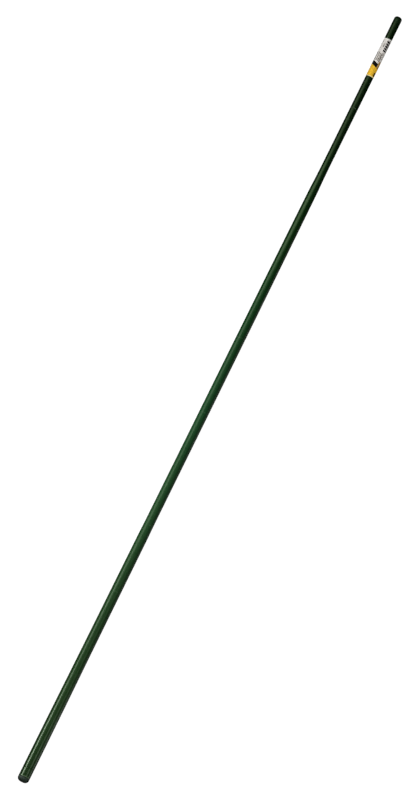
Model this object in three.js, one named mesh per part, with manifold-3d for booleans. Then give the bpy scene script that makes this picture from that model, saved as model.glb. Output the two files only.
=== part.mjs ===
// A one-piece tapered extension pole for a paint roller: a swaged steel tube in a green plastic
// coating, a push-in cap at the thick end, a rounded push-in plug at the thin end and a wrapped label.
// Millimetres, +Z up. The pole lies along X on the plane Z = 0, thick end towards -X.
import * as THREE from "three";
import { mergeVertices } from "three/addons/utils/BufferGeometryUtils.js";
import Module from "manifold-3d";

const wasm = await Module();
wasm.setup();

// ---- driving dimensions ----
const LENGTH = 2000; // cap face to plug face
const GRIP_DIAMETER = 27.7; // outside of the coating at the thick end
const LIP_DIAMETER = 27.9; // rolled lip of the coating round the thick end
const FIT_DIAMETER = 18.3; // outside of the coating along the push-fit end
const COATING = 0.5; // plastic thickness
const TUBE_WALL = 0.6; // steel thickness
const GAP = 0.05; // between concentric layers
const SEAT_GAP = 0.3; // between a plug's shoulder and what it seats on
const SIDES = 24; // flats round every turned piece

// ---- thick end ----
const CAP_HEAD = 11.2; // part of the cap outside the tube
const CAP_CORNER = 8.5; // rounding at the cap's face
const CAP_NECK = 0.9; // shadow groove between the head and the coating's lip
const CAP_NECK_DEPTH = 0.7;
const CAP_SPIGOT = 38; // part of the cap inside the tube
const CAP_SPIGOT_RADIUS = 11.2;
const CAP_RIB_RADIUS = 11.8;
const CAP_RIBS = 4;
const CAP_BORE_RADIUS = 8.8;
const CAP_SLOT = 2.4; // width of the slots that let the spigot spring
const LIP_LENGTH = 1.4; // length of the coating's rolled lip
const LIP_ROLL = 0.5; // rounding of the lip's edge
const CRIMP_AT = 34; // from the cap's face to the middle of the crimped ring
const CRIMP_WIDTH = 4;
const CRIMP_FLOOR = 1.2;
const CRIMP_DEPTH = 0.35;

// ---- thin end ----
const NOSE_HEAD = 15; // part of the plug outside the tube
const NOSE_CORNER = 7.2; // rounding at the plug's face
const NOSE_RADIUS = 9.35;
const NOSE_SPIGOT = 30; // part of the plug inside the tube
const NOSE_SPIGOT_RADIUS = 7;
const NOSE_RIB_RADIUS = 7.6;
const NOSE_RIBS = 3;
const NOSE_BORE_RADIUS = 4.8;
const NOSE_SLOT = 2;

// ---- shared by both plugs ----
const RIB_PITCH = 7;
const RIB_WIDTH = 2.2;
const RIB_RISE = 0.2; // length of a rib's steep side
const FIRST_RIB = 5; // from the shoulder to the first rib
const LEAD_IN = 1.5; // chamfer at the spigot's free end
const SLOT_SHARE = 0.68; // how much of the spigot the slots run along
const SLOT_OVERRUN = 2; // how far a slot's cutter runs past the spigot's free end
const BORE_FLOOR = 4; // solid plastic between the bore and the face
const ARC_STEPS = 6;

// ---- label ----
const LABEL_START = 1842.2; // from the cap's face to the label's lower edge
const LABEL_LENGTH = 98.5;
const LABEL_THICKNESS = 0.14;
const LABEL_OVERLAP_STEPS = 3; // flats of the pole on which the label lies double
const LABEL_LIFT = 0.12; // air under the label and between its two layers

// Outside diameter of the coated pole along its length: a parallel grip, a slow taper with one
// soft step, and a soft shoulder down to the parallel push-fit end.
const TAPER = [
  [100, 27.25],
  [160, 27.05],
  [330, 25.65],
  [450, 25.05],
  [636, 24.4],
  [676, 23.5],
  [1000, 23],
  [1300, 22.05],
  [1542, 20.7],
  [1572, 19.3],
  [1612, 18.6],
  [1680, FIT_DIAMETER],
  [1930, FIT_DIAMETER],
  [LENGTH - NOSE_HEAD, 2 * NOSE_RADIUS],
];

const material = (color, roughness, metalness = 0) =>
  new THREE.MeshStandardMaterial({ color, roughness, metalness });
const COATING_GREEN = material(0x2f5a2c, 0.3);
const PLUG_GREEN = material(0x24452a, 0.4);
const CAP_SLATE = material(0x46564b, 0.5);
const STEEL = material(0x9aa0a3, 0.45, 1);
const LABEL_STOCK = material(0xc9c5bd, 0.5);

// A turned piece: profile points are [distance from the cap's face, true radius to the flats].
function turned(profile) {
  const outline = profile.map(([x, r]) => new THREE.Vector2(r / Math.cos(Math.PI / SIDES), x));
  if (THREE.ShapeUtils.area(outline) < 0) outline.reverse();
  const geometry = new THREE.LatheGeometry(outline, SIDES, Math.PI / SIDES);
  return geometry.rotateZ(-Math.PI / 2);
}

// The same outline, joined end to start, for a piece with a hole right through it.
const ring = (profile) => turned([...profile, profile[0]]);

// Quarter round from the straight side to the face, both ends included.
function roundedCorner(faceX, inward, radius, corner) {
  const points = [];
  for (let i = 0; i <= ARC_STEPS; i++) {
    const a = (i / ARC_STEPS) * (Math.PI / 2);
    points.push([
      faceX + inward * corner * (1 - Math.sin(a)),
      radius - corner * (1 - Math.cos(a)),
    ]);
  }
  return points;
}

// Ribs of a push-in spigot, from the shoulder towards its free end. Each rib is a saw tooth that
// slides in easily and grips on the way out.
function ribbedSpigot(shoulderX, inward, spigot) {
  const points = [[shoulderX, spigot.radius]];
  for (let i = 0; i < spigot.ribs; i++) {
    const at = FIRST_RIB + i * RIB_PITCH;
    points.push([shoulderX + inward * at, spigot.radius]);
    points.push([shoulderX + inward * (at + RIB_RISE), spigot.ribRadius]);
    points.push([shoulderX + inward * (at + RIB_WIDTH), spigot.radius]);
  }
  points.push([shoulderX + inward * (spigot.length - LEAD_IN), spigot.radius]);
  points.push([shoulderX + inward * spigot.length, spigot.radius - LEAD_IN]);
  return points;
}

function solid(geometry) {
  const bare = geometry.clone();
  bare.deleteAttribute("normal");
  bare.deleteAttribute("uv");
  const merged = mergeVertices(bare, 1e-3);
  return new wasm.Manifold(
    new wasm.Mesh({
      numProp: 3,
      vertProperties: merged.attributes.position.array,
      triVerts: new Uint32Array(merged.index.array),
    }),
  );
}

function geometryOf(made) {
  const mesh = made.getMesh();
  const geometry = new THREE.BufferGeometry();
  geometry.setAttribute("position", new THREE.BufferAttribute(mesh.vertProperties, 3));
  geometry.setIndex(new THREE.BufferAttribute(mesh.triVerts, 1));
  return geometry;
}

// Two crossing slots along the free end of a spigot, so that its four fingers can spring.
function slotted(geometry, freeX, inward, length, width) {
  const reach = 2 * GRIP_DIAMETER;
  const middle = freeX - (inward * (length - SLOT_OVERRUN)) / 2;
  let made = solid(geometry);
  for (const angle of [Math.PI / 4, -Math.PI / 4]) {
    const cutter = new THREE.BoxGeometry(length + SLOT_OVERRUN, width, reach);
    cutter.rotateX(angle).translate(middle, 0, 0);
    made = made.subtract(solid(cutter));
  }
  return geometryOf(made);
}

// Outside radius of the coated pole at a distance from the cap's face.
function poleRadius(x) {
  const points = [[CAP_HEAD, GRIP_DIAMETER], ...TAPER];
  const next = points.findIndex(([at]) => at >= x);
  if (next <= 0) return points[0][1] / 2;
  const [x0, d0] = points[next - 1];
  const [x1, d1] = points[next];
  return (d0 + ((d1 - d0) * (x - x0)) / (x1 - x0)) / 2;
}

// The pole's outline at a depth below its outside, from the thick end to the thin one.
function layer(depth, fromX, toX) {
  const half = CRIMP_WIDTH / 2;
  const floor = CRIMP_FLOOR / 2;
  const crimped = poleRadius(CRIMP_AT) - CRIMP_DEPTH;
  const outline = [
    [fromX, poleRadius(fromX)],
    [CRIMP_AT - half, poleRadius(CRIMP_AT)],
    [CRIMP_AT - floor, crimped],
    [CRIMP_AT + floor, crimped],
    [CRIMP_AT + half, poleRadius(CRIMP_AT)],
  ];
  for (const [x, d] of TAPER) if (x < toX) outline.push([x, d / 2]);
  outline.push([toX, poleRadius(toX)]);
  return outline.map(([x, r]) => [x, r - depth]);
}

function tubeGeometry() {
  const from = CAP_HEAD + COATING + GAP;
  const to = LENGTH - NOSE_HEAD - SEAT_GAP;
  const outer = layer(COATING + GAP, from, to);
  const inner = layer(COATING + GAP + TUBE_WALL, from, to);
  return ring([...outer, ...inner.reverse()]);
}

// The coating turns in over the tube's thick end in a small rolled lip.
function coatingGeometry() {
  const to = LENGTH - NOSE_HEAD - SEAT_GAP;
  const outer = layer(0, CAP_HEAD + LIP_LENGTH, to);
  const inner = layer(COATING, CAP_HEAD + COATING, to);
  const lip = LIP_DIAMETER / 2;
  const mouth = poleRadius(CAP_HEAD) - COATING - GAP - TUBE_WALL;
  return ring([
    [CAP_HEAD, mouth],
    ...roundedCorner(CAP_HEAD, 1, lip, LIP_ROLL).reverse(),
    ...outer,
    ...inner.reverse(),
    [CAP_HEAD + COATING, mouth],
  ]);
}

function capGeometry() {
  const radius = GRIP_DIAMETER / 2;
  const shoulder = CAP_HEAD - SEAT_GAP;
  const spigot = {
    length: CAP_SPIGOT,
    radius: CAP_SPIGOT_RADIUS,
    ribRadius: CAP_RIB_RADIUS,
    ribs: CAP_RIBS,
  };
  const free = shoulder + CAP_SPIGOT;
  const body = turned([
    [0, 0],
    ...roundedCorner(0, 1, radius, CAP_CORNER).reverse(),
    [shoulder - CAP_NECK, radius],
    [shoulder - CAP_NECK, radius - CAP_NECK_DEPTH],
    [shoulder, radius - CAP_NECK_DEPTH],
    ...ribbedSpigot(shoulder, 1, spigot),
    [free, CAP_BORE_RADIUS],
    [BORE_FLOOR, CAP_BORE_RADIUS],
    [BORE_FLOOR, 0],
  ]);
  return slotted(body, free, 1, CAP_SPIGOT * SLOT_SHARE, CAP_SLOT);
}

function noseGeometry() {
  const shoulder = LENGTH - NOSE_HEAD;
  const spigot = {
    length: NOSE_SPIGOT,
    radius: NOSE_SPIGOT_RADIUS,
    ribRadius: NOSE_RIB_RADIUS,
    ribs: NOSE_RIBS,
  };
  const free = shoulder - NOSE_SPIGOT;
  const body = turned([
    [LENGTH, 0],
    ...roundedCorner(LENGTH, -1, NOSE_RADIUS, NOSE_CORNER).reverse(),
    [shoulder, NOSE_RADIUS],
    ...ribbedSpigot(shoulder, -1, spigot),
    [free, NOSE_BORE_RADIUS],
    [LENGTH - BORE_FLOOR - NOSE_CORNER, NOSE_BORE_RADIUS],
    [LENGTH - BORE_FLOOR - NOSE_CORNER, 0],
  ]);
  return slotted(body, free, -1, NOSE_SPIGOT * SLOT_SHARE, NOSE_SLOT);
}

// The label is one strip rolled round the pole, its end lying over its beginning.
function labelGeometry() {
  const from = LABEL_START;
  const steps = SIDES + LABEL_OVERLAP_STEPS;
  const widest = Math.max(poleRadius(from), poleRadius(from + LABEL_LENGTH));
  const start = widest + LABEL_LIFT;
  const rise = (LABEL_THICKNESS + LABEL_LIFT) / SIDES;
  const point = (i, lift) => {
    const a = ((i + 0.5) * 2 * Math.PI) / SIDES;
    const r = (start + i * rise + lift) / Math.cos(Math.PI / SIDES);
    return new THREE.Vector2(r * Math.cos(a), r * Math.sin(a));
  };
  const outline = [];
  for (let i = 0; i <= steps; i++) outline.push(point(i, 0));
  for (let i = steps; i >= 0; i--) outline.push(point(i, LABEL_THICKNESS));
  const geometry = new THREE.ExtrudeGeometry(new THREE.Shape(outline), {
    depth: LABEL_LENGTH,
    bevelEnabled: false,
  });
  return geometry.rotateY(Math.PI / 2).translate(from, 0, 0);
}

const pole = new THREE.Group();
pole.position.set(-LENGTH / 2, 0, LIP_DIAMETER / 2);

function add(name, geometry, look) {
  const mesh = new THREE.Mesh(geometry, look);
  mesh.name = name;
  pole.add(mesh);
}

add("steel_tube", tubeGeometry(), STEEL);
add("green_coating", coatingGeometry(), COATING_GREEN);
add("butt_cap", capGeometry(), CAP_SLATE);
add("nose_plug", noseGeometry(), PLUG_GREEN);
add("wrap_label", labelGeometry(), LABEL_STOCK);

export default pole;
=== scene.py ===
import math

import bmesh
import bpy
from mathutils import Matrix, Vector, noise

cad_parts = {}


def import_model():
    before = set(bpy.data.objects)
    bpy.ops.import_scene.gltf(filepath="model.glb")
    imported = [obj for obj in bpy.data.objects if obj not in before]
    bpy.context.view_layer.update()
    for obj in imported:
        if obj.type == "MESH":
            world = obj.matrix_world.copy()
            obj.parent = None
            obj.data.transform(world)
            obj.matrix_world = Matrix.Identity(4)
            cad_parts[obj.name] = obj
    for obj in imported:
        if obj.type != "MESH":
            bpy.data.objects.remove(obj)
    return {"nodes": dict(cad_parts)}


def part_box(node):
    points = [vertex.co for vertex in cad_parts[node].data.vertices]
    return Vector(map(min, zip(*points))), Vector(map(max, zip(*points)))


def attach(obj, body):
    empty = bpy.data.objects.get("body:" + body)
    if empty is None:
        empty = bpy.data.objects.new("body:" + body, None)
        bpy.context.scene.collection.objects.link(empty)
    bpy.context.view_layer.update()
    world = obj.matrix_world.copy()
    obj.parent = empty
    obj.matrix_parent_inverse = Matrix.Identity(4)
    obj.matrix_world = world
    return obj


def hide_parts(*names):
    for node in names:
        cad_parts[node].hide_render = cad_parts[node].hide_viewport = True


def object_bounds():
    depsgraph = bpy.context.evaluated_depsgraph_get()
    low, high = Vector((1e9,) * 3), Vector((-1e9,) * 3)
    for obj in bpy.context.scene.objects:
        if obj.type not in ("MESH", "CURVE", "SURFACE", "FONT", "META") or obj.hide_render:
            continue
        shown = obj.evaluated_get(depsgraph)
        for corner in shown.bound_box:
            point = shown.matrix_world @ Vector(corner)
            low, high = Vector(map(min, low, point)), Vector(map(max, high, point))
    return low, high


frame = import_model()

MM = 0.001
cad_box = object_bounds()
LOW, HIGH = cad_box
MIDDLE = (LOW + HIGH) / 2
AXIS_Z = MIDDLE.z                      # the pole's axis runs along X at this height
CAD_SIDES = 24                         # flats round the CAD pieces
SIDES = 96                             # facets round the finished pieces
SHARP_ANGLE = math.radians(32)         # edges that turn further than this stay sharp
MIX_A, MIX_B, MIX_RESULT = 6, 7, 2     # the colour sockets of a Mix node

# ---------------------------------------------------------------- camera
AXIS_IN_PICTURE = math.radians(63.74)  # the pole's direction, up from the picture's horizontal
TILT_TO_BUTT = math.radians(11.0)      # how far the camera leans towards the thick end
CAMERA_DISTANCE = 45.0
PICTURE_HEIGHT = 1.8420                # metres of the pole's plane from bottom to top
OFF_CENTRE = (0.0054, 0.0051)          # the pole's middle, right of and above the picture's
SENSOR = 0.036


def make_camera():
    """A long lens straight above the pole, leaning a little towards its thick end."""
    data = bpy.data.cameras.new("camera")
    cam = bpy.data.objects.new("camera", data)
    bpy.context.scene.collection.objects.link(cam)
    back = Vector((-math.sin(TILT_TO_BUTT), 0, math.cos(TILT_TO_BUTT)))
    along = Vector((1, 0, 0))
    along = (along - along.dot(back) * back).normalized()
    across = back.cross(along)
    c, s = math.cos(AXIS_IN_PICTURE), math.sin(AXIS_IN_PICTURE)
    right = along * c - across * s
    up = along * s + across * c
    target = MIDDLE - right * OFF_CENTRE[0] - up * OFF_CENTRE[1]
    turn = Matrix((right, up, back)).transposed().to_4x4()
    cam.matrix_world = Matrix.Translation(target + back * CAMERA_DISTANCE) @ turn
    data.sensor_width = SENSOR * 1000
    data.lens = SENSOR * 1000 * CAMERA_DISTANCE / PICTURE_HEIGHT
    data.clip_start, data.clip_end = 0.1, 200
    bpy.context.scene.camera = cam


make_camera()


# ---------------------------------------------------------------- node helpers
class Nodes:
    """Short calls that add nodes to one material and link them."""

    def __init__(self, name):
        self.material = bpy.data.materials.new(name)
        self.material.use_nodes = True
        self.tree = self.material.node_tree
        self.shader = self.tree.nodes["Principled BSDF"]
        coordinates = self.new("ShaderNodeTexCoord").outputs
        self.place, self.uv = coordinates["Object"], coordinates["UV"]

    def new(self, kind, **settings):
        node = self.tree.nodes.new(kind)
        for key, value in settings.items():
            setattr(node, key, value)
        return node

    def put(self, socket, value):
        if isinstance(value, bpy.types.NodeSocket):
            self.tree.links.new(value, socket)
        else:
            socket.default_value = value

    def math(self, operation, a, b=None, c=None):
        node = self.new("ShaderNodeMath", operation=operation)
        for socket, value in zip(node.inputs, (a, b, c)):
            if value is not None:
                self.put(socket, value)
        return node.outputs[0]

    def split(self, vector):
        node = self.new("ShaderNodeSeparateXYZ")
        self.put(node.inputs[0], vector)
        return node.outputs

    def stretch(self, vector, scale):
        node = self.new("ShaderNodeMapping")
        self.put(node.inputs["Vector"], vector)
        node.inputs["Scale"].default_value = scale
        return node.outputs[0]

    def noise(self, vector, scale, detail, roughness=0.5):
        node = self.new("ShaderNodeTexNoise")
        self.put(node.inputs["Vector"], vector)
        node.inputs["Scale"].default_value = scale
        node.inputs["Detail"].default_value = detail
        node.inputs["Roughness"].default_value = roughness
        return node.outputs["Fac"]

    def between(self, value, low, high, to_low=0.0, to_high=1.0):
        """value from low..high to to_low..to_high, smoothly and held at both ends."""
        node = self.new("ShaderNodeMapRange", interpolation_type="SMOOTHSTEP")
        self.put(node.inputs["Value"], value)
        node.inputs["From Min"].default_value = low
        node.inputs["From Max"].default_value = high
        node.inputs["To Min"].default_value = to_low
        node.inputs["To Max"].default_value = to_high
        return node.outputs[0]

    def band(self, value, low, high, soft):
        """1 where value lies between low and high, with soft edges."""
        rise = self.between(value, low - soft, low + soft)
        fall = self.between(value, high - soft, high + soft, 1.0, 0.0)
        return self.math("MULTIPLY", rise, fall)

    def mix(self, factor, a, b, blend="MIX"):
        node = self.new("ShaderNodeMix", data_type="RGBA", blend_type=blend)
        self.put(node.inputs["Factor"], factor)
        for socket, value in zip((node.inputs[MIX_A], node.inputs[MIX_B]), (a, b)):
            self.put(socket, (*value, 1) if isinstance(value, tuple) else value)
        return node.outputs[MIX_RESULT]

    def ramp(self, factor, stops):
        """stops are (position, colour), from 0 to 1."""
        node = self.new("ShaderNodeValToRGB")
        self.put(node.inputs["Fac"], factor)
        ramp = node.color_ramp
        while len(ramp.elements) < len(stops):
            ramp.elements.new(0.5)
        for element, (position, colour) in zip(ramp.elements, stops):
            element.position = position
            element.color = (*colour, 1)
        return node.outputs["Color"]

    def bump(self, height, distance, strength, under=None):
        node = self.new("ShaderNodeBump")
        node.inputs["Strength"].default_value = strength
        node.inputs["Distance"].default_value = distance
        self.put(node.inputs["Height"], height)
        if under is not None:
            self.put(node.inputs["Normal"], under)
        return node.outputs["Normal"]

    def angle(self):
        """Turns round the pole's axis, 0 on top, rising towards -Y, from -0.5 to 0.5."""
        _, y, z = self.split(self.place)
        up = self.math("SUBTRACT", z, AXIS_Z)
        side = self.math("MULTIPLY", y, -1.0)
        return self.math("DIVIDE", self.math("ARCTAN2", side, up), 2 * math.pi)

    def finish(self, **sockets):
        for key, value in sockets.items():
            socket = self.shader.inputs[key.replace("_", " ")]
            if isinstance(value, tuple) and len(value) == 3:
                value = (*value, 1)
            self.put(socket, value)
        return self.material


# ---------------------------------------------------------------- materials
LEAN = 0.225                           # how far the print's slanted edges run back per turn
BAR_LEAN = 0.10                        # the same for the row of bars
# The print's solid areas: first and last turn from the top, start and end along the label, lean,
# colour. They are the yellow end, a black slanted bar, a brown one under it and a dark spot.
BLOCKS = [
    (-0.5, 0.5, -0.3, 0.264, LEAN, (0.80, 0.47, 0.030)),
    (-0.5, 0.075, 0.262, 0.362, LEAN, (0.004, 0.003, 0.002)),
    (0.075, 0.30, 0.262, 0.44, LEAN, (0.46, 0.27, 0.08)),
    (0.098, 0.190, 0.030, 0.125, 0.0, (0.020, 0.009, 0.003)),
]
# Rows of unlettered dashes, and last a row of bars: turns from the top, height in turns, start,
# end, pitch, duty, lean, colour.
DASH_ROWS = [
    (-0.188, 0.076, 0.385, 0.640, 0.050, 0.76, 0.0, (0.010, 0.009, 0.008)),
    (-0.076, 0.045, 0.420, 0.630, 0.034, 0.70, 0.0, (0.10, 0.09, 0.07)),
    (-0.011, 0.040, 0.410, 0.610, 0.042, 0.74, 0.0, (0.13, 0.11, 0.08)),
    (0.045, 0.045, 0.400, 0.620, 0.038, 0.78, 0.0, (0.07, 0.05, 0.03)),
    (0.108, 0.040, 0.470, 0.640, 0.048, 0.64, 0.0, (0.20, 0.17, 0.13)),
    (-0.050, 0.050, 0.770, 0.870, 0.030, 0.74, 0.0, (0.15, 0.14, 0.12)),
    (0.084, 0.144, 0.670, 0.970, 0.060, 0.78, BAR_LEAN, (0.008, 0.007, 0.006)),
]
# the coating's colour along the pole, from 0 at the cap to 1 at the plug, darkened towards the plug
# as painted shade
COATING_TINTS_AND_SHADE = [
    (0.00, (0.016, 0.046, 0.012)),
    (0.10, (0.019, 0.056, 0.014)),
    (0.22, (0.020, 0.064, 0.018)),
    (0.34, (0.022, 0.078, 0.025)),
    (0.48, (0.014, 0.068, 0.022)),
    (0.62, (0.008, 0.045, 0.011)),
    (0.72, (0.004, 0.025, 0.004)),
    (0.81, (0.002, 0.013, 0.002)),
    (0.85, (0.001, 0.008, 0.001)),
    (1.00, (0.001, 0.007, 0.001)),
]
SATIN_FROM, SATIN_FULL = 0.78, 0.84    # the push-fit end is less glossy than the rest
# rubs on the coating: place along X, turns from the top, reach in turns, width, strength
RUBS = [
    (-0.507, 0.020, 0.055, 1.2 * MM, 0.22),
    (-0.333, 0.065, 0.055, 1.0 * MM, 0.45),
    (-0.230, -0.060, 0.050, 1.0 * MM, 0.20),
    (-0.040, -0.020, 0.070, 1.0 * MM, 0.30),
    (0.038, 0.050, 0.050, 1.0 * MM, 0.24),
    (0.155, -0.020, 0.080, 1.2 * MM, 0.20),
    (0.513, -0.090, 0.060, 1.0 * MM, 0.25),
    (0.729, -0.030, 0.060, 1.0 * MM, 0.20),
    (0.759, 0.030, 0.045, 1.2 * MM, 0.50),
]


def coating_material():
    """Glossy green plastic: clouded, rubbed in places, painted shade in the ring, a paler lip that
    is partly wear and partly painted highlight.
    """
    n = Nodes("coating_green")
    x = n.split(n.place)[0]
    share = n.between(x, LOW.x, HIGH.x)
    share.node.interpolation_type = "LINEAR"
    # colour along the pole, with painted shade darkening it towards the plug
    tint = n.ramp(share, COATING_TINTS_AND_SHADE)
    clouds = n.noise(n.stretch(n.place, (1, 14, 14)), 5.0, 3)
    tint = n.mix(n.between(clouds, 0.3, 0.7, 0.0, 0.30), tint, (0.70, 0.74, 0.70), "MULTIPLY")
    streaks = n.noise(n.stretch(n.place, (1, 90, 90)), 9.0, 2)
    streak = n.between(streaks, 0.45, 0.75)
    tint = n.mix(n.math("MULTIPLY", streak, 0.10), tint, (0.05, 0.11, 0.05))
    # short circumferential rubs, each at its own place and angle
    rubs = None
    turn = n.angle()
    ragged = n.noise(n.place, 900.0, 2)
    for at, centre, reach, width, depth in RUBS:
        wander = n.math("MULTIPLY_ADD", ragged, 1.2 * MM, x)
        line = n.band(wander, at - width / 2, at + width / 2, 0.35 * MM)
        arc = n.band(turn, centre - reach, centre + reach, 0.02)
        one = n.math("MULTIPLY", n.math("MULTIPLY", line, arc), depth)
        rubs = one if rubs is None else n.math("MAXIMUM", rubs, one)
    speck = n.between(n.noise(n.place, 260.0, 4, 0.7), 0.72, 0.80, 0.0, 0.35)
    worn = n.math("MAXIMUM", rubs, speck)
    # paler lip: partly wear, partly a painted highlight of the rim catching light
    lip = n.between(x, LIP_X + 1.0 * MM, LIP_X + 3.2 * MM, 1.0, 0.0)
    lip = n.math("MULTIPLY", lip, n.between(ragged, 0.25, 0.6, 0.55, 1.0))
    tint = n.mix(n.math("MULTIPLY", lip, 0.85), tint, (0.13, 0.21, 0.11))
    tint = n.mix(worn, tint, (0.16, 0.24, 0.15))
    # painted shade: the crimped ring's groove darkened
    groove = n.band(x, CRIMP_X + 0.5 * MM, CRIMP_X + 2.0 * MM, 0.7 * MM)
    tint = n.mix(n.math("MULTIPLY", groove, 0.7), tint, (0.004, 0.010, 0.004))
    haze = n.noise(n.place, 35.0, 4)
    rough = n.between(haze, 0.3, 0.75, 0.17, 0.27)
    rough = n.math("MAXIMUM", rough, n.between(share, SATIN_FROM, SATIN_FULL, 0.17, 0.36))
    rough = n.math("MAXIMUM", rough, n.math("MULTIPLY", worn, 0.8))
    peel = n.bump(n.noise(n.place, 420.0, 2), 0.05 * MM, 0.5)
    drawn = n.bump(n.noise(n.stretch(n.place, (0.02, 1, 1)), 900.0, 2), 0.02 * MM, 0.5, peel)
    sheen = n.mix(n.between(share, 0.55, 0.80), (0.78, 1.0, 0.72), (0.66, 1.0, 0.50))
    return n.finish(Base_Color=tint, Roughness=rough, Normal=drawn, IOR=1.5,
                    Specular_Tint=sheen)


def cap_material():
    """Slate plastic with gritty wear at the corner, painted shade by its shoulder, and painted
    shade on its face and one flank.
    """
    n = Nodes("cap_slate")
    x, y, z = n.split(n.place)
    radius = n.math("SQRT", n.math("ADD", n.math("POWER", y, 2.0),
                                   n.math("POWER", n.math("SUBTRACT", z, AXIS_Z), 2.0)))
    mottle = n.noise(n.place, 110.0, 4)
    tint = n.mix(n.between(mottle, 0.3, 0.7), (0.044, 0.066, 0.050), (0.056, 0.082, 0.063))
    edge = n.math("MULTIPLY", n.band(radius, 5.0 * MM, 10.5 * MM, 1.5 * MM),
                  n.between(x, LOW.x + 2.0 * MM, LOW.x + 5.0 * MM, 1.0, 0.0))
    grit = n.between(n.noise(n.place, 700.0, 4, 0.7), 0.48, 0.66)
    tint = n.mix(n.math("MULTIPLY", n.math("MULTIPLY", edge, grit), 0.5), tint,
                 (0.10, 0.13, 0.11))
    # painted shade on the cap's shoulder next to the tube's lip, where the joint's groove is in
    # shadow
    seat_shade = n.between(x, CAP_SEAT_X - 2.0 * MM, CAP_SEAT_X, 0.0, 0.8)
    tint = n.mix(seat_shade, tint, (0.012, 0.018, 0.012))
    # painted shade: the flat face and the -Y flank of the corner made near black, where light does
    # not reach them
    face = n.between(radius, 7.0 * MM, 9.2 * MM, 1.0, 0.0)
    flank = n.between(y, -12.4 * MM, -9.6 * MM, 1.0, 0.0)
    face_and_flank_shade = n.math("MULTIPLY", n.math("MAXIMUM", face, flank), 0.95)
    tint = n.mix(face_and_flank_shade, tint, (0.001, 0.002, 0.001))
    rough = n.between(mottle, 0.3, 0.7, 0.50, 0.64)
    grain = n.bump(n.noise(n.place, 1900.0, 2), 0.03 * MM, 0.6)
    return n.finish(Base_Color=tint, Roughness=rough, Normal=grain, IOR=1.5,
                    Specular_IOR_Level=0.16)


def plug_material():
    """Dark green plastic, nicked round its end, with painted shade darkening the end."""
    n = Nodes("plug_green")
    x = n.split(n.place)[0]
    mottle = n.noise(n.place, 140.0, 4)
    tint = n.mix(n.between(mottle, 0.3, 0.7), (0.003, 0.010, 0.003), (0.005, 0.015, 0.005))
    nick = n.between(n.noise(n.place, 520.0, 4, 0.7), 0.66, 0.76)
    tip = n.between(x, HIGH.x - 6 * MM, HIGH.x - 1 * MM)
    tint = n.mix(n.math("MULTIPLY", n.math("MULTIPLY", nick, tip), 0.5), tint,
                 (0.05, 0.08, 0.05))
    # painted shade: the last few millimetres of the nose made near black
    tint = n.mix(n.math("MULTIPLY", tip, 0.8), tint, (0.001, 0.002, 0.001))
    rough = n.between(mottle, 0.3, 0.7, 0.34, 0.46)
    grain = n.bump(n.noise(n.place, 1500.0, 2), 0.02 * MM, 0.5)
    return n.finish(Base_Color=tint, Roughness=rough, Normal=grain, IOR=1.48,
                    Specular_Tint=(0.62, 1.0, 0.56), Specular_IOR_Level=0.34)


def steel_material():
    """Drawn galvanised steel, scored lengthwise."""
    n = Nodes("tube_steel")
    lines = n.noise(n.stretch(n.place, (0.01, 1, 1)), 1400.0, 3)
    spangle = n.noise(n.place, 160.0, 2, 0.6)
    tint = n.mix(n.between(spangle, 0.35, 0.65), (0.50, 0.52, 0.53), (0.62, 0.63, 0.64))
    rough = n.between(lines, 0.3, 0.7, 0.28, 0.50)
    scored = n.bump(lines, 0.02 * MM, 0.6)
    return n.finish(Base_Color=tint, Roughness=rough, Normal=scored, Metallic=1.0)


def label_material():
    """Generic print: a yellow end, a slanted black bar, a silver field with dashes and bars.

    UV u is the angle round the pole in turns from the top, raised by a half, v runs from the
    label's thick end to its thin end.
    """
    n = Nodes("label_stock")
    across, along, _ = n.split(n.uv)
    turn = n.math("SUBTRACT", across, 0.5)
    crisp = 0.002

    def block(t0, t1, v0, v1, lean):
        skewed = n.math("MULTIPLY_ADD", turn, lean, along)
        return n.math("MULTIPLY", n.band(turn, t0, t1, crisp * 2),
                      n.band(skewed, v0, v1, crisp))

    def dashes(t, thick, v0, v1, pitch, duty, lean):
        row = n.math("MULTIPLY", n.band(turn, t - thick / 2, t + thick / 2, crisp * 2),
                     n.band(along, v0, v1, crisp))
        skewed = n.math("MULTIPLY_ADD", turn, lean, along)
        cell = n.math("FRACT", n.math("DIVIDE", n.math("SUBTRACT", skewed, v0), pitch))
        return n.math("MULTIPLY", row, n.math("LESS_THAN", cell, duty))

    fibre = n.noise(n.place, 1600.0, 3)
    tint = n.mix(n.between(fibre, 0.3, 0.7), (0.66, 0.63, 0.59), (0.74, 0.71, 0.67))
    for *area, colour in BLOCKS:
        tint = n.mix(block(*area), tint, colour)
    for *row, colour in DASH_ROWS:
        tint = n.mix(dashes(*row), tint, colour)
    # painted highlight: a pale band along the edge nearest the plug, where that edge catches light
    tint = n.mix(n.between(along, 0.970, 0.982), tint, (0.86, 0.86, 0.80))
    tint = n.mix(n.between(along, 0.014, 0.026, 1.0, 0.0), tint, (0.84, 0.70, 0.34))
    rough = n.between(fibre, 0.3, 0.7, 0.48, 0.60)
    bubbles = n.bump(n.noise(n.stretch(n.place, (1, 2, 2)), 120.0, 2), 0.15 * MM, 0.35)
    return n.finish(Base_Color=tint, Roughness=rough, Normal=bubbles, IOR=1.45,
                    Specular_IOR_Level=0.12)



# ---------------------------------------------------------------- shapes from the frame
def cad_outline(node):
    """(x, outer radius) of a turned CAD node at each of its stations, least x first."""
    flat = math.cos(math.pi / CAD_SIDES)
    widest = {}
    for v in frame["nodes"][node].data.vertices:
        x = round(v.co.x, 5)
        r = math.hypot(v.co.y, v.co.z - AXIS_Z) * flat
        widest[x] = max(widest.get(x, 0.0), r)
    return sorted(widest.items())


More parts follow.
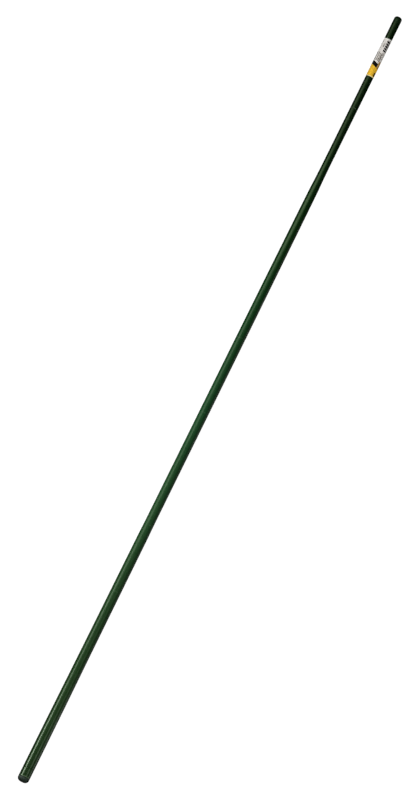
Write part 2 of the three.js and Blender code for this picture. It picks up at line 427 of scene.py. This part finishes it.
def smooth_radius(stations):
    """A radius at any x: a cubic through the stations that never overshoots between two."""
    xs = [x for x, _ in stations]
    rs = [r for _, r in stations]
    slopes = [(rs[i + 1] - rs[i]) / (xs[i + 1] - xs[i]) for i in range(len(xs) - 1)]
    bends = [slopes[0]]
    for a, b in zip(slopes, slopes[1:]):
        bends.append(2 * a * b / (a + b) if a * b > 0 else 0.0)
    bends.append(slopes[-1])

    def at(x):
        if x <= xs[0]:
            return rs[0]
        if x >= xs[-1]:
            return rs[-1]
        i = max(k for k in range(len(xs) - 1) if xs[k] <= x)
        h = xs[i + 1] - xs[i]
        t = (x - xs[i]) / h
        return (rs[i] * (1 + 2 * t) * (1 - t) ** 2 + bends[i] * h * t * (1 - t) ** 2
                + rs[i + 1] * t * t * (3 - 2 * t) + bends[i + 1] * h * t * t * (t - 1))

    return at


CAP_LOW, CAP_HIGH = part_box("butt_cap")
COAT_LOW, COAT_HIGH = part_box("green_coating")
TUBE_LOW, TUBE_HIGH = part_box("steel_tube")
PLUG_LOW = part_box("nose_plug")[0]
LABEL_LOW, LABEL_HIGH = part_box("wrap_label")
LIP_X = COAT_LOW.x                     # the coating's thick end
CAP_SEAT_X = LIP_X - 0.3 * MM          # the cap's shoulder
CRIMP_X = LIP_X + 22.8 * MM
CRIMP_DEPTH = 0.35 * MM
CRIMP_HALF = 2.1 * MM
COAT_THICK = 0.5 * MM
TUBE_WALL = 0.6 * MM
LAYER_GAP = 0.05 * MM
ON_AXIS = 1e-7                         # a radius below this is a point on the axis
LIP_RADIUS = (COAT_HIGH.z - COAT_LOW.z) / 2
CAP_RADIUS = (CAP_HIGH.z - CAP_LOW.z) / 2 * math.cos(math.pi / CAD_SIDES)

# the taper's own stations: past the lip and the ring, and outside only
TAPER_FROM = LIP_X + 60 * MM
plain = [(x, r) for x, r in cad_outline("green_coating")
         if x > TAPER_FROM and r > (HIGH.z - AXIS_Z) / 2]
skin = smooth_radius([(LIP_X, CAP_RADIUS)] + plain)


def pole_radius(x):
    """Outside of the coating, with the ring that is crimped into it."""
    reach = (x - CRIMP_X) / CRIMP_HALF
    dip = CRIMP_DEPTH * (0.5 + 0.5 * math.cos(math.pi * reach)) if abs(reach) < 1 else 0.0
    return skin(x) - dip


def arc(centre, radius, start, end, steps):
    """Points of an arc in the (x, r) plane, angles in degrees from +x towards +r."""
    points = []
    for i in range(steps + 1):
        a = math.radians(start + (end - start) * i / steps)
        points.append((centre[0] + radius * math.cos(a), centre[1] + radius * math.sin(a)))
    return points


def revolve(name, outline, closed=False, sides=SIDES):
    """Turns an (x, r) outline about the pole's axis. closed joins its end to its start."""
    bm = bmesh.new()
    rings = []
    for x, r in outline:
        if r < ON_AXIS:
            rings.append([bm.verts.new((x, 0, AXIS_Z))])
            continue
        ring = []
        for i in range(sides):
            a = 2 * math.pi * i / sides
            ring.append(bm.verts.new((x, -r * math.sin(a), AXIS_Z + r * math.cos(a))))
        rings.append(ring)
    pairs = list(zip(rings, rings[1:]))
    if closed:
        pairs.append((rings[-1], rings[0]))
    for one, two in pairs:
        for i in range(sides):
            j = (i + 1) % sides
            corners = [one[i % len(one)], one[j % len(one)], two[j % len(two)], two[i % len(two)]]
            unique = list(dict.fromkeys(corners))
            if len(unique) > 2:
                bm.faces.new(unique)
    bmesh.ops.recalc_face_normals(bm, faces=bm.faces)
    return piece_of(name, bm)


def piece_of(name, bm):
    """A smooth-shaded object made from bm, which is used up."""
    mesh = bpy.data.meshes.new(name)
    bm.to_mesh(mesh)
    bm.free()
    mesh.shade_smooth()
    mesh.set_sharp_from_angle(angle=SHARP_ANGLE)
    obj = bpy.data.objects.new(name, mesh)
    bpy.context.scene.collection.objects.link(obj)
    return obj


def steps(start, end, count):
    """count + 1 evenly spaced values from start to end."""
    return [start + (end - start) * i / count for i in range(count + 1)]


# ---------------------------------------------------------------- pieces
def coating():
    """The green skin with its rolled lip, the crimped ring and the long smooth taper."""
    roll = 0.45 * MM
    lip = [(LIP_X, skin(LIP_X) - COAT_THICK - LAYER_GAP - TUBE_WALL)]
    lip += arc((LIP_X + roll, LIP_RADIUS - roll), roll, 180, 90, 8)
    settle = LIP_X + 1.6 * MM
    near = steps(settle, CRIMP_X - CRIMP_HALF, 12)
    crimp = steps(CRIMP_X - CRIMP_HALF, CRIMP_X + CRIMP_HALF, 16)[1:]
    far = steps(CRIMP_X + CRIMP_HALF, COAT_HIGH.x, 240)[1:]
    outer = [(x, pole_radius(x)) for x in near + crimp + far]
    inner = [(x, pole_radius(x) - COAT_THICK) for x in steps(COAT_HIGH.x, LIP_X + COAT_THICK, 60)]
    mouth = [(LIP_X + COAT_THICK, lip[0][1])]
    return revolve("green_coating_skin", lip + outer + inner + mouth, closed=True)


def tube():
    """The steel tube, close under the coating and open at both ends."""
    depth = COAT_THICK + LAYER_GAP
    outer = [(x, pole_radius(x) - depth) for x in steps(TUBE_LOW.x, TUBE_HIGH.x, 120)]
    inner = [(x, r - TUBE_WALL) for x, r in reversed(outer)]
    return revolve("steel_tube_drawn", outer + inner, closed=True, sides=64)


FIRST_RIB, RIB_PITCH = 5.0, 7.0        # mm from the shoulder
SLOT_SHARE = 0.68                      # of a spigot's length, from its free end


def ribbed(shoulder, way, core, rib, ribs, length):
    """The spigot's outline from its shoulder to its free end, with saw-tooth ribs."""
    points = [(shoulder, core)]
    for i in range(ribs):
        at = (FIRST_RIB + RIB_PITCH * i) * MM
        points += [(shoulder + way * at, core),
                   (shoulder + way * (at + 0.2 * MM), rib - 0.1 * MM),
                   (shoulder + way * (at + 0.4 * MM), rib),
                   (shoulder + way * (at + 2.2 * MM), core)]
    points.append((shoulder + way * (length - 1.5 * MM), core))
    points.append((shoulder + way * length, core - 1.5 * MM))
    return points


def cut_slots(obj, start, end, width):
    """Two crossing slots through the spigot's free end, cut for good."""
    for turn in (45, -45):
        bm = bmesh.new()
        bmesh.ops.create_cube(bm, size=1)
        bmesh.ops.scale(bm, verts=bm.verts, vec=(abs(end - start), width, 60 * MM))
        bmesh.ops.rotate(bm, verts=bm.verts, matrix=Matrix.Rotation(math.radians(turn), 3, "X"))
        bmesh.ops.translate(bm, verts=bm.verts, vec=((start + end) / 2, 0, AXIS_Z))
        cutter = piece_of("slot_cutter", bm)
        cut = obj.modifiers.new("slot", "BOOLEAN")
        cut.operation, cut.object, cut.solver = "DIFFERENCE", cutter, "EXACT"
        bpy.context.view_layer.update()
        graph = bpy.context.evaluated_depsgraph_get()
        finished = bpy.data.meshes.new_from_object(obj.evaluated_get(graph))
        obj.modifiers.clear()
        obj.data = finished
        bpy.data.objects.remove(cutter)
    obj.data.set_sharp_from_angle(angle=SHARP_ANGLE)
    return obj


def cap():
    """The moulded cap: flat face with a gate mark, rounded edge, shadow groove and spigot."""
    face, radius, corner = LOW.x, CAP_RADIUS, 8.5 * MM
    core, rib, bore = 11.2 * MM, 11.8 * MM, 8.8 * MM
    shoulder = CAP_SEAT_X
    free = CAP_HIGH.x
    outline = [(face + 0.25 * MM, 0), (face + 0.25 * MM, 0.9 * MM), (face + 0.05 * MM, 1.1 * MM)]
    outline += [(face, 1.4 * MM), (face, 3.4 * MM)]
    outline += [(face + 0.12 * MM, 3.6 * MM), (face + 0.12 * MM, 4.0 * MM), (face, 4.2 * MM)]
    outline += arc((face + corner, radius - corner), corner, 180, 90, 24)
    outline += [(shoulder - 1.2 * MM, radius), (shoulder - 0.95 * MM, radius - 0.2 * MM)]
    outline += [(shoulder - 0.9 * MM, radius - 0.7 * MM), (shoulder, radius - 0.7 * MM)]
    outline += ribbed(shoulder, 1, core, rib, 4, free - shoulder)
    outline += [(free, bore), (face + 5.0 * MM, bore), (face + 4.0 * MM, 7.8 * MM)]
    outline += [(face + 4.0 * MM, 0)]
    obj = revolve("butt_cap_moulded", outline)
    return cut_slots(obj, free - SLOT_SHARE * (free - shoulder), free + 2 * MM, 2.4 * MM)


def plug():
    """The rounded plug at the push-fit end, with its spigot."""
    face, corner = HIGH.x, 7.2 * MM
    core, rib, bore, depth = 7.0 * MM, 7.6 * MM, 4.8 * MM, 11.2 * MM
    shoulder = COAT_HIGH.x + 0.3 * MM
    free = PLUG_LOW.x
    radius = dict(cad_outline("nose_plug"))[round(shoulder, 5)]
    outline = [(face - 0.15 * MM, 0), (face - 0.15 * MM, 0.5 * MM), (face, 0.8 * MM)]
    outline += reversed(arc((face - corner, radius - corner), corner, 90, 0, 16))
    outline += [(shoulder + 0.25 * MM, radius), (shoulder, radius - 0.15 * MM)]
    outline += ribbed(shoulder, -1, core, rib, 3, shoulder - free)
    outline += [(free, bore), (face - depth, bore), (face - depth, 0)]
    obj = revolve("nose_plug_moulded", outline)
    return cut_slots(obj, free - 2 * MM, free + SLOT_SHARE * (shoulder - free), 2.0 * MM)


LABEL_THICK = 0.12 * MM
LABEL_GLUE = 0.03 * MM                 # under the strip
LABEL_OVERLAP = 45 / 360               # in turns
LABEL_START = 0.5 + 0.02               # in turns back from the top
LABEL_CELLS, LABEL_ROWS = 160, 48      # faces round the pole and along it


def label_radius(x, t, v):
    """The strip's inside, at a share t of the way round its roll and v of the way along it.

    The end climbs over the start and peels a little, the edge nearest the plug curls, and all
    of it waves.
    """
    turn = t * (1 + LABEL_OVERLAP) - LABEL_START
    climb = max(0.0, min(1.0, (turn + LABEL_START - 0.97) / 0.05))
    rise = (LABEL_THICK + 0.02 * MM) * climb
    free_end = max(0.0, (t - 0.97) / 0.03)
    peel = 0.25 * MM * free_end ** 2 * (0.35 + 0.65 * max(0.0, 2 * v - 1) ** 2)
    edge = max(0.0, (v - 0.985) / 0.015)
    curl = 0.10 * MM * edge * (0.6 + 0.4 * math.sin(9 * turn))
    wave = 0.02 * MM * noise.noise(Vector((x * 60, turn * 6, 3.0)))
    return pole_radius(x) + LABEL_GLUE + rise + peel + curl + wave


def label_grid(bm, outside):
    """One side of the strip: rows of (vertex, print u, print v). The inside carries no print."""
    grid = []
    for j in range(LABEL_ROWS + 1):
        v = j / LABEL_ROWS
        x = LABEL_LOW.x + v * (LABEL_HIGH.x - LABEL_LOW.x)
        row = []
        for i in range(LABEL_CELLS + 1):
            t = i / LABEL_CELLS
            turn = t * (1 + LABEL_OVERLAP) - LABEL_START
            r = label_radius(x, t, v) + outside * LABEL_THICK
            a = 2 * math.pi * turn
            vert = bm.verts.new((x, -r * math.sin(a), AXIS_Z + r * math.cos(a)))
            row.append((vert, (turn + 0.5) % 1.0 if outside else 0.5, v))
        grid.append(row)
    return grid


def label():
    """The printed strip rolled round the pole, its end over its start, one corner lifting."""
    bm = bmesh.new()
    inner = label_grid(bm, 0)
    outer = label_grid(bm, 1)
    uv = bm.loops.layers.uv.new("print")

    def face(*corners):
        made = bm.faces.new([vert for vert, _, _ in corners])
        turns = [u for _, u, _ in corners]
        wraps = max(turns) - min(turns) > 0.5
        for loop, (_, u, v) in zip(made.loops, corners):
            loop[uv].uv = (u + 1 if wraps and u < 0.5 else u, v)

    cells, rows = LABEL_CELLS, LABEL_ROWS
    for j in range(rows):
        for i in range(cells):
            face(outer[j][i], outer[j][i + 1], outer[j + 1][i + 1], outer[j + 1][i])
            face(inner[j + 1][i], inner[j + 1][i + 1], inner[j][i + 1], inner[j][i])
    for i in range(cells):
        face(inner[0][i], inner[0][i + 1], outer[0][i + 1], outer[0][i])
        face(outer[rows][i], outer[rows][i + 1], inner[rows][i + 1], inner[rows][i])
    for j in range(rows):
        face(outer[j][0], outer[j + 1][0], inner[j + 1][0], inner[j][0])
        face(inner[j][cells], inner[j + 1][cells], outer[j + 1][cells], outer[j][cells])
    bmesh.ops.recalc_face_normals(bm, faces=bm.faces)
    return piece_of("wrap_label_printed", bm)


def place(obj, node, body, material):
    """Dresses a finished piece, puts it in its CAD node's stead and fixes it to a body."""
    obj.data.materials.clear()
    obj.data.materials.append(material)
    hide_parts(node)
    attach(obj, body)


place(tube(), "steel_tube", "pole", steel_material())
place(coating(), "green_coating", "pole", coating_material())
place(cap(), "butt_cap", "cap", cap_material())
place(plug(), "nose_plug", "plug", plug_material())
place(label(), "wrap_label", "pole", label_material())


# ---------------------------------------------------------------- stage and light
WORLD_FILL = 0.06                      # even light from all sides, seen by matt surfaces only
# gloss lights show only as reflections, soft lights only brighten matt colour.
# name, kind, centre along X, angle from straight up towards +Y, distance, (length, width), radiance
LIGHTS = [
    ("key_strip", "gloss", -1.00, 64, 1.2, (0.80, 0.30), 11.2),
    ("second_strip", "gloss", -0.37, 57, 1.6, (0.50, 0.56), 2.9),
    ("wide_box", "gloss", 0.875, 48, 2.2, (2.05, 1.60), 1.00),
    ("middle_strip", "gloss", 0.80, 62, 2.0, (0.56, 0.60), 1.00),
    ("tip_box", "gloss", 0.95, 28, 1.6, (0.50, 1.50), 1.45),
    ("fill_strip", "gloss", -0.65, -30, 1.6, (0.90, 0.45), 0.50),
    ("butt_fill", "gloss", -0.85, -31, 1.4, (0.52, 0.45), 1.35),
    ("butt_side", "gloss", -0.83, -90, 1.4, (0.64, 0.90), 0.75),
    ("edge_strip", "gloss", -0.02, -104, 1.4, (1.55, 0.50), 0.50),
    ("edge_middle", "gloss", 0.42, -86, 1.4, (0.60, 0.60), 0.28),
    ("soft_butt", "soft", -0.95, 0, 0.9, (0.50, 0.50), 3.2),
    ("soft_key", "soft", -0.38, 36, 0.9, (0.60, 0.60), 2.4),
    ("soft_middle", "soft", 0.35, 54, 1.3, (1.00, 0.80), 6.2),
    ("soft_tip", "soft", 0.93, -28, 0.7, (0.35, 0.50), 4.9),
]


def floor():
    """A pale studio floor that is lit from within, so that only a faint shadow shows."""
    bm = bmesh.new()
    bmesh.ops.create_circle(bm, cap_ends=True, radius=60, segments=96)
    bmesh.ops.translate(bm, verts=bm.verts, vec=(0, 0, LOW.z - 0.05 * MM))
    obj = piece_of("studio_floor", bm)
    n = Nodes("studio_floor")
    n.finish(Base_Color=(0.16, 0.16, 0.16), Roughness=0.9, Specular_IOR_Level=0.0,
             Emission_Color=(1, 1, 1), Emission_Strength=1.0)
    obj.data.materials.append(n.material)
    obj.visible_diffuse = False
    obj.visible_glossy = False
    obj.visible_shadow = False


def world():
    """White to the camera above the floor's edge, an even soft fill that leaves no reflection."""
    made = bpy.data.worlds.new("studio")
    bpy.context.scene.world = made
    made.use_nodes = True
    tree = made.node_tree
    back = tree.nodes["Background"]
    rays = tree.nodes.new("ShaderNodeLightPath")
    mix = tree.nodes.new("ShaderNodeMix")
    mix.data_type = "RGBA"
    mix.inputs[MIX_A].default_value = (WORLD_FILL, WORLD_FILL, WORLD_FILL, 1)
    mix.inputs[MIX_B].default_value = (1, 1, 1, 1)
    tree.links.new(rays.outputs["Is Camera Ray"], mix.inputs["Factor"])
    tree.links.new(mix.outputs[MIX_RESULT], back.inputs["Color"])
    made.cycles_visibility.glossy = False


def soft_box(name, kind, along, side, away, size, radiance):
    """An area light beside the pole. along is its centre's X, side its angle from straight
    up towards +Y, away its distance from the axis, size its length along X and its width."""
    data = bpy.data.lights.new(name, "AREA")
    data.shape = "RECTANGLE"
    data.size, data.size_y = size
    data.energy = radiance * math.pi * size[0] * size[1]
    obj = bpy.data.objects.new(name, data)
    bpy.context.scene.collection.objects.link(obj)
    a = math.radians(side)
    out = Vector((0, math.sin(a), math.cos(a)))
    length = Vector((1, 0, 0))
    turn = Matrix((length, out.cross(length), out)).transposed().to_4x4()
    obj.matrix_world = Matrix.Translation(Vector((along, 0, AXIS_Z)) + out * away) @ turn
    obj.visible_camera = False
    obj.visible_glossy = kind == "gloss"
    obj.visible_diffuse = kind == "soft"


floor()
world()
for row in LIGHTS:
    soft_box(*row)

scene = bpy.context.scene
scene.view_settings.view_transform = "Standard"
scene.view_settings.look = "None"
